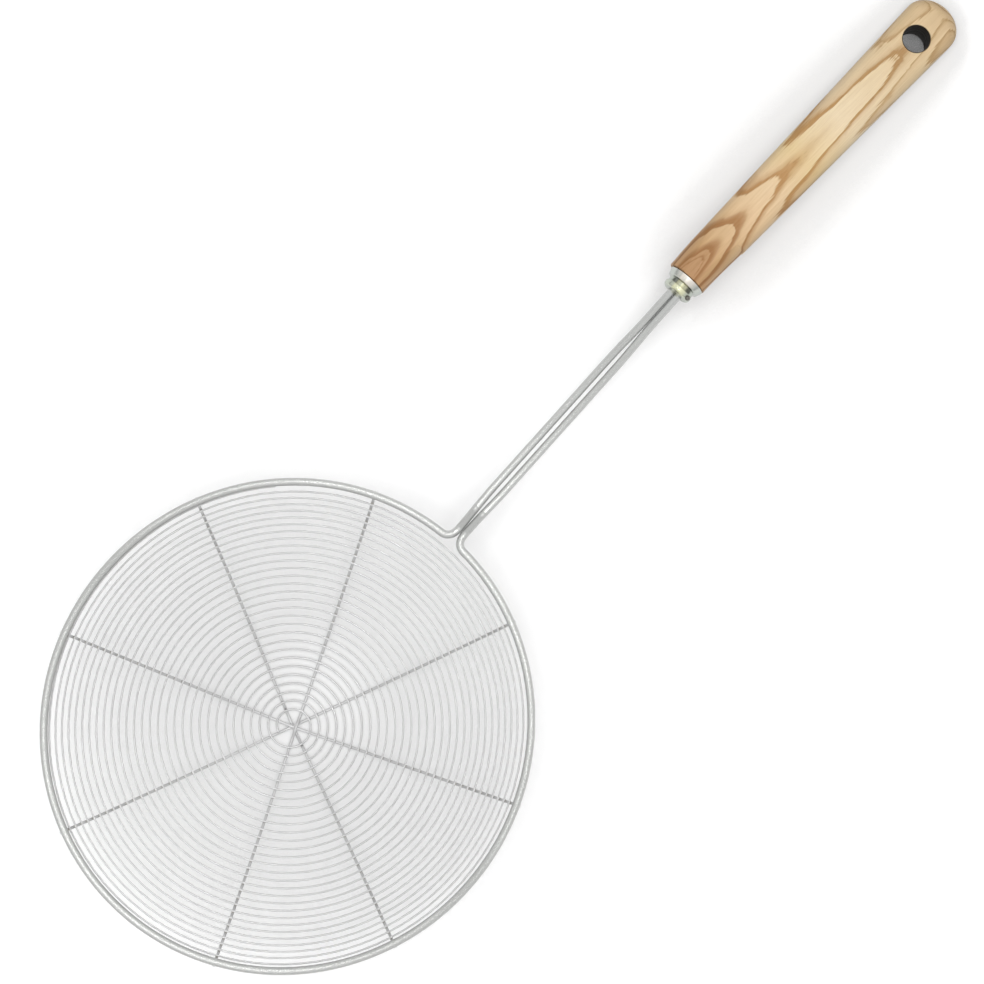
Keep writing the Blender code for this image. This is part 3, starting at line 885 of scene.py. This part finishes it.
def frontTurning():
    # What the lathe leaves of the front: the tenon, the shoulder with its eased edge, then a slow flare.
    values = handle
    radius = values["turnedRadius"]
    ease = values["frontEdge"]
    profile = [(-values["tenonLength"] - mm, 0.0), (-values["tenonLength"] - mm, values["tenonRadius"])]
    profile += [(0.0, values["tenonRadius"])]
    for step in range(values["easeSteps"] + 1):
        angle = math.pi / 2 * step / values["easeSteps"]
        profile.append((ease * (1 - math.cos(angle)), radius - ease * (1 - math.sin(angle))))
    for step in range(1, values["flareSteps"] + 1):
        share = step / values["flareSteps"]
        flare = values["turnedFlare"] * share ** values["flareBend"]
        profile.append((ease + values["turnedLength"] * share, radius + flare))
    clear = radius + values["endWidth"]
    profile += [(ease + values["turnedLength"] * 2, clear), (values["length"] + mm, clear)]
    profile += [(values["length"] + mm, 0.0)]
    bm = spunMesh(profile, "X", values["turnSteps"])
    bmesh.ops.translate(bm, verts=bm.verts, vec=(0.0, values["sideShift"], 0.0))
    return bm


def handlePiece():
    values = handle
    piece = newObject("ashHandle", handleBlank())
    carve(piece, frontTurning(), "INTERSECT")
    front = -values["tenonLength"] - mm
    bore = [(front, 0.0), (front, values["boreRadius"]), (values["boreDepth"], values["boreRadius"])]
    carve(piece, spunMesh(bore + [(values["boreDepth"], 0.0)], "X", values["boreSides"]))
    holeX = values["length"] - values["holeToEnd"]
    surface = handleThickness(holeX) / 2
    radius = values["holeDiameter"] / 2
    ease = values["holeEase"]
    drill = [(-surface - mm, 0.0), (-surface - mm, radius + ease)]
    for step in range(values["holeSteps"] + 1):
        angle = math.pi / 2 * step / values["holeSteps"]
        along = -surface + ease * (1 - math.cos(angle)) - values["holeSink"]
        drill.append((along, radius + ease * (1 - math.sin(angle))))
    drill += [(-along, away) for along, away in reversed(drill[2:])]
    drill += [(surface + mm, radius + ease), (surface + mm, 0.0)]
    bm = spunMesh(drill, "Z", values["turnSteps"])
    bmesh.ops.translate(bm, verts=bm.verts, vec=(holeX, handleCentre(holeX), 0.0))
    carve(piece, bm)
    piece.data.transform(Matrix.Translation(woodFront))
    return piece


# Ash, flat-sawn: the rings lie round a line that dives below the top face from the front to the end, so they
# show there as nested loops and long points. All of this is in millimetres of the handle's own frame: u
# from the wood's front, v across, w up.
ash = {
    # How far the rings' centre line is below the top face, by u.
    "diveLength": 140.0,
    "diveDepth": 14.0,
    "dive": [
        (0, 1.0), (5, 2.0), (12, 3.5), (20, 5.0), (24.5, 6.1), (35, 7.4), (44, 8.1), (49.5, 8.6), (60, 9.05),
        (80, 9.55), (100, 9.95), (110, 10.4), (113, 10.6), (140, 12.0),
    ],
    # How far that line is to the side, before and after its turn.
    "centres": (1.0, 0.6),
    "centreTurn": (45.0, 60.0),
    "topHeight": 7.3,
    "topSlope": -0.0057,
    # How dark the wood is by its distance from the rings' centre line.
    "ringReach": 16.0,
    "rings": [
        (2.6, 0.5), (2.75, 0.95), (2.95, 0.55), (3.4, 0.5), (3.5, 1.0), (3.8, 1.0), (4.3, 0.7), (4.6, 0.35),
        (4.9, 0.2), (6.0, 0.2), (6.12, 1.0), (6.5, 1.0), (6.9, 0.75), (7.15, 0.3), (7.6, 0.15), (8.45, 0.1),
        (8.55, 1.0), (8.8, 0.95), (8.95, 0.55), (9.15, 0.45), (9.4, 0.15), (10.4, 0.1), (10.5, 1.0),
        (10.75, 1.0), (10.95, 0.45), (11.4, 0.2), (12.0, 0.15), (12.15, 0.9), (12.4, 0.3), (13.3, 0.1),
        (13.45, 0.9), (13.8, 0.4),
    ],
    "pale": [
        (0, "#cda477"), (12, "#d2ac7c"), (18, "#dbb98b"), (32, "#e9ca9f"), (45, "#ebcfa6"), (60, "#ead19f"),
        (80, "#f4e0bc"), (120, "#e8cfa5"), (140, "#dcc096"),
    ],
    "dark": [(0, "#9c6c40"), (20, "#a27345"), (45, "#b88a55"), (60, "#bc8f57"), (140, "#b08a5a")],
    "pore": "#8d6238",
    "poreShare": 0.35,
    # Noise scales along, across and down, and how far each shifts the rings.
    "wanderScale": (0.04, 0.13, 0.13),
    "wander": 0.28,
    "fineWanderScale": (0.16, 0.6, 0.6),
    "fineWander": 0.14,
    "fray": 0.7,
    "fibre": 0.16,
    "fibreScale": (1 / 16, 1.9, 1.9),
    "fibreRange": (0.25, 0.75),
    "poreScale": (1 / 3.2, 4.2, 4.2),
    "poreRange": (0.60, 0.68),
    "paintedHoleShade": "#1c140d",
    "holeShadeReach": 0.1,
    "roughness": 0.5,
    "smoother": 0.06,
    "rougher": 0.1,
    "reliefBump": 0.35,
    "reliefHeight": 0.12 * mm,
}


def wanderNodes(tree, place, scale, amount):
    # Slow shifts of the rings, longer along the grain than across it.
    place = addNode(tree, "Mapping", {"Vector": place, "Scale": scale})
    noise = addNode(tree, "TexNoise", {"Vector": place, "Scale": 1.0, "Detail": 1.0})
    parts = addNode(tree, "SeparateXYZ", {0: noise.outputs["Color"]})
    return [
        addNode(tree, "MapRange", {"Value": parts.outputs[axis], "To Min": -amount, "To Max": amount})
        for axis in "XY"
    ]


def ashMaterial():
    material, tree, shader = newMaterial("oiledAshWood")
    place = ownPlace(tree, woodFront + Vector((0.0, handle["sideShift"], 0.0)), handle["lean"])
    own = addNode(tree, "SeparateXYZ", {0: place})
    u, v, w = own.outputs["X"], own.outputs["Y"], own.outputs["Z"]

    dive = byLength(tree, u, ash["dive"], ash["diveLength"], ash["diveDepth"])
    dive.color_ramp.interpolation = "CARDINAL"
    (start, end), (front, back) = ash["centreTurn"], ash["centres"]
    centre = addNode(
        tree, "MapRange", {"Value": u, "From Min": start, "From Max": end, "To Min": front, "To Max": back}
    )
    slowAcross, slowDown = wanderNodes(tree, place, ash["wanderScale"], ash["wander"])
    fineAcross, fineDown = wanderNodes(tree, place, ash["fineWanderScale"], ash["fineWander"])
    across = addNode(tree, "Math", {0: v, 1: centre}, operation="SUBTRACT")
    for shift in (slowAcross, fineAcross):
        across = addNode(tree, "Math", {0: across, 1: shift}, operation="ADD")
    top = addNode(tree, "Math", {0: u, 1: ash["topSlope"], 2: ash["topHeight"]}, operation="MULTIPLY_ADD")
    below = addNode(tree, "Math", {0: w, 1: top}, operation="SUBTRACT")
    below = addNode(tree, "Math", {0: dive, 1: ash["diveDepth"], 2: below}, operation="MULTIPLY_ADD")
    for shift in (slowDown, fineDown):
        below = addNode(tree, "Math", {0: below, 1: shift}, operation="ADD")
    ring = flatLength(tree, across, below)

    # Fibre: fine streaks along the grain, which fray the rings' edges, and short open pores in the dark early
    # wood.
    fibrePlace = addNode(tree, "Mapping", {"Vector": place, "Scale": ash["fibreScale"]})
    fibre = addNode(tree, "TexNoise", {"Vector": fibrePlace, "Scale": 1.0, "Detail": 4.0, "Roughness": 0.6})
    fray = addNode(tree, "Math", {0: fibre, 1: 0.5}, operation="SUBTRACT")
    ring = addNode(tree, "Math", {0: fray, 1: ash["fray"], 2: ring}, operation="MULTIPLY_ADD")
    ringTone = byLength(tree, ring, ash["rings"], ash["ringReach"])
    porePlace = addNode(tree, "Mapping", {"Vector": place, "Scale": ash["poreScale"]})
    poreNoise = addNode(tree, "TexNoise", {"Vector": porePlace, "Scale": 1.0, "Detail": 1.0})
    low, high = ash["poreRange"]
    edges = {"Value": poreNoise, "From Min": low, "From Max": high}
    pores = addNode(tree, "MapRange", edges, interpolation_type="SMOOTHSTEP")
    pores = addNode(tree, "Math", {0: pores, 1: ringTone}, operation="MULTIPLY")

    (low, high), shift = ash["fibreRange"], ash["fibre"]
    tone = addNode(
        tree, "MapRange", {"Value": fibre, "From Min": low, "From Max": high, "To Min": -shift, "To Max": shift}
    )
    tone = addNode(tree, "Math", {0: ringTone, 1: tone}, operation="ADD", use_clamp=True)
    pale = byLength(tree, u, ash["pale"], ash["diveLength"])
    dark = byLength(tree, u, ash["dark"], ash["diveLength"])
    wood = addNode(tree, "MixRGB", {"Fac": tone, "Color1": pale, "Color2": dark})
    share = addNode(tree, "Math", {0: pores, 1: ash["poreShare"]}, operation="MULTIPLY")
    wood = addNode(tree, "MixRGB", {"Fac": share, "Color1": wood, "Color2": ash["pore"]})
    # Painted shade: the hole's wall is painted near-black, as shade deep in the hole.
    holeU = addNode(tree, "Math", {0: u, 1: (handle["length"] - handle["holeToEnd"]) / mm}, operation="SUBTRACT")
    fromHole = flatLength(tree, holeU, v)
    radius = handle["holeDiameter"] / 2 / mm
    inner, outer = radius + ash["holeShadeReach"], radius + handle["holeEase"] / mm
    fade = {"Value": fromHole, "From Min": inner, "From Max": outer, "To Min": 1.0, "To Max": 0.0}
    holeShade = addNode(tree, "MapRange", fade, interpolation_type="SMOOTHSTEP")
    wood = addNode(tree, "MixRGB", {"Fac": holeShade, "Color1": wood, "Color2": ash["paintedHoleShade"]})
    smooth, rough = ash["roughness"] - ash["smoother"], ash["roughness"] + ash["rougher"]
    roughness = addNode(tree, "MapRange", {"Value": tone, "To Min": smooth, "To Max": rough})
    relief = addNode(tree, "Math", {0: pores, 1: -1.0, 2: fibre}, operation="MULTIPLY_ADD")
    bump = addNode(
        tree, "Bump", {"Height": relief, "Strength": ash["reliefBump"], "Distance": ash["reliefHeight"]}
    )
    setInputs(
        tree,
        shader,
        {"Base Color": wood, "Roughness": roughness, "IOR": 1.46, "Specular IOR Level": 0.4, "Normal": bump},
    )
    return material


dress(handlePiece(), ashMaterial(), "handle", 30)
print("handle made")

# The studio: a pale floor, a soft key lamp almost overhead and a wide fill, and a white tent with brighter
# panels in its roof. The tent shows in reflections, and the lamps give the light.
studio = {
    "floorSize": 6.0,
    "floorColour": "#e8e8e8",
    "floorGlow": 0.6,
    "shadeReach": 0.065,
    "shadeSamples": 16,
    "shades": [(0.08, (0.02,)), (0.34, (0.62,)), (0.84, (0.65,)), (0.97, (1.0,))],
    "backdrop": "#f8f8f8",
    "tent": 1.0,
    "tentLow": 0.5,
    "tentLowHeight": 0.28,
    "panelCentre": (0.125, 0.028),
    "panelClear": 0.06,
    "panelSpread": 0.85,
    "panelReach": (0.25, 0.65),
    "panelLevel": 1.65,
    # Where each crosses, then where its edge starts and ends.
    "seam": (0.3, 0.05, 0.07),
    "strip": (0.199, 0.012, 0.022),
    "stripFade": 0.1,
    "stripLevel": 14.0,
    "keyPower": 12.7,
    "keySize": 0.7,
    "keyPlace": (0.05, -0.036, 1.3),
    "fillPower": 45.0,
    "fillSize": 7.0,
    "fillHeight": 2.2,
}


def floorMaterial():
    # Matt white paper. The glow is for the camera and for reflections only, and lights nothing.
    material, tree, shader = newMaterial("mattPaper")
    path = addNode(tree, "LightPath")
    rays = {0: path.outputs["Is Camera Ray"], 1: path.outputs["Is Glossy Ray"]}
    seen = addNode(tree, "Math", rays, operation="MAXIMUM")
    # Painted shade: the paper's colour and glow are darkened by how closed in it is, a little under the basket
    # and much where it is almost closed in, as under the hanging hole.
    near = addNode(
        tree, "AmbientOcclusion", {"Distance": studio["shadeReach"]}, samples=studio["shadeSamples"]
    )
    shade = addNode(tree, "ValToRGB", {"Fac": near.outputs["AO"]}, stops=studio["shades"])
    glow = addNode(tree, "Math", {0: seen, 1: studio["floorGlow"]}, operation="MULTIPLY")
    glow = addNode(tree, "Math", {0: glow, 1: shade}, operation="MULTIPLY")
    paper = addNode(tree, "MixRGB", {"Fac": shade, "Color1": "#000000", "Color2": studio["floorColour"]})
    setInputs(
        tree,
        shader,
        {
            "Base Color": paper,
            "Roughness": 1.0,
            "Specular IOR Level": 0.0,
            "Emission Color": "#ffffff",
            "Emission Strength": glow,
        },
    )
    return material


def tentWorld():
    world = bpy.data.worlds.new("whiteTent")
    world.use_nodes = True
    world.cycles_visibility.diffuse = False
    tree = world.node_tree
    tree.nodes.clear()
    direction = addNode(tree, "SeparateXYZ", {0: addNode(tree, "TexCoord").outputs["Generated"]})
    rise = {"Value": direction.outputs["Z"], "From Max": studio["tentLowHeight"], "To Min": studio["tentLow"]}
    low = addNode(tree, "MapRange", rise, interpolation_type="SMOOTHSTEP")
    # Two brighter panels, left and right of the middle of the roof. They fade outwards and towards the middle
    # line. A narrow bright strip and a dark seam cross the right-hand one.
    across, along = [
        addNode(tree, "Math", {0: direction.outputs[axis], 1: centre}, operation="SUBTRACT")
        for axis, centre in zip("XY", studio["panelCentre"])
    ]
    reach = flatLength(tree, across, along)
    panel = addNode(tree, "Math", {0: across}, operation="ABSOLUTE")
    clear, spread = studio["panelClear"], studio["panelSpread"]
    for operation, value in (("SUBTRACT", clear), ("MAXIMUM", 0.0), ("DIVIDE", reach), ("POWER", spread)):
        panel = addNode(tree, "Math", {0: panel, 1: value}, operation=operation)
    inner, outer = studio["panelReach"]
    fade = {"Value": reach, "From Min": inner, "From Max": outer, "To Min": 1.0, "To Max": 0.0}
    fade = addNode(tree, "MapRange", fade, interpolation_type="SMOOTHSTEP")
    bands = []
    for name in ("seam", "strip"):
        crossing, inner, outer = studio[name]
        band = addNode(tree, "Math", {0: direction.outputs["X"], 1: crossing}, operation="SUBTRACT")
        band = addNode(tree, "Math", {0: band}, operation="ABSOLUTE")
        edge = {"Value": band, "From Min": inner, "From Max": outer}
        bands.append(addNode(tree, "MapRange", edge, interpolation_type="SMOOTHSTEP"))
    seam, aside = bands
    fall = addNode(tree, "Math", {0: along, 1: 1 / studio["stripFade"]}, operation="MULTIPLY")
    fall = addNode(tree, "Math", {0: fall, 1: fall, 2: 1.0}, operation="MULTIPLY_ADD")
    strip = addNode(tree, "Math", {0: 1.0, 1: aside}, operation="SUBTRACT")
    for operation, value in (("DIVIDE", fall), ("MULTIPLY", studio["stripLevel"])):
        strip = addNode(tree, "Math", {0: strip, 1: value}, operation=operation)
    up = addNode(tree, "Math", {0: direction.outputs["Z"], 1: 0.0}, operation="GREATER_THAN")
    for share in (fade, seam):
        panel = addNode(tree, "Math", {0: panel, 1: share}, operation="MULTIPLY")
    panel = addNode(tree, "Math", {0: panel, 1: studio["panelLevel"], 2: strip}, operation="MULTIPLY_ADD")
    strength = addNode(tree, "Math", {0: low, 1: studio["tent"]}, operation="MULTIPLY")
    strength = addNode(tree, "Math", {0: panel, 1: up, 2: strength}, operation="MULTIPLY_ADD")
    tent = addNode(tree, "Background", {"Color": "#ffffff", "Strength": strength})
    backdrop = addNode(tree, "Background", {"Color": studio["backdrop"], "Strength": 1.0})
    mix = addNode(
        tree, "MixShader", {0: addNode(tree, "LightPath").outputs["Is Camera Ray"], 1: tent, 2: backdrop}
    )
    addNode(tree, "OutputWorld", {"Surface": mix})
    bpy.context.scene.world = world


def addLamp(name, shape, size, power, place):
    # The lamps don't show in reflections: the tent does.
    lamp = bpy.data.lights.new(name, "AREA")
    lamp.shape = shape
    lamp.size = size
    lamp.energy = power
    holder = bpy.data.objects.new(name, lamp)
    holder.location = place
    holder.rotation_euler = (-Vector(place)).to_track_quat("-Z", "Y").to_euler()
    holder.visible_glossy = False
    holder.visible_camera = False
    bpy.context.scene.collection.objects.link(holder)


floorMesh = bmesh.new()
bmesh.ops.create_grid(floorMesh, x_segments=1, y_segments=1, size=studio["floorSize"] / 2)
floor = newObject("paperFloor", floorMesh)
floor.data.materials.append(floorMaterial())
tentWorld()
addLamp("keyLamp", "DISK", studio["keySize"], studio["keyPower"], studio["keyPlace"])
addLamp("fillLamp", "SQUARE", studio["fillSize"], studio["fillPower"], (0.0, 0.0, studio["fillHeight"]))

# The camera looks down on the skimmer, with the handle to the upper right.
view = {
    "place": (0.021915, -0.030021, 1.105443),
    "turn": (-0.0108, 0.048874, -0.842788),
    "lens": 108.62,
}
lens = bpy.data.cameras.new("productCamera")
lens.sensor_width = 36.0
lens.lens = view["lens"]
lens.clip_start = 0.01
camera = bpy.data.objects.new("productCamera", lens)
camera.location = view["place"]
camera.rotation_euler = view["turn"]
bpy.context.scene.collection.objects.link(camera)
bpy.context.scene.camera = camera
bpy.context.scene.view_settings.view_transform = "Standard"
print("studio and camera set")
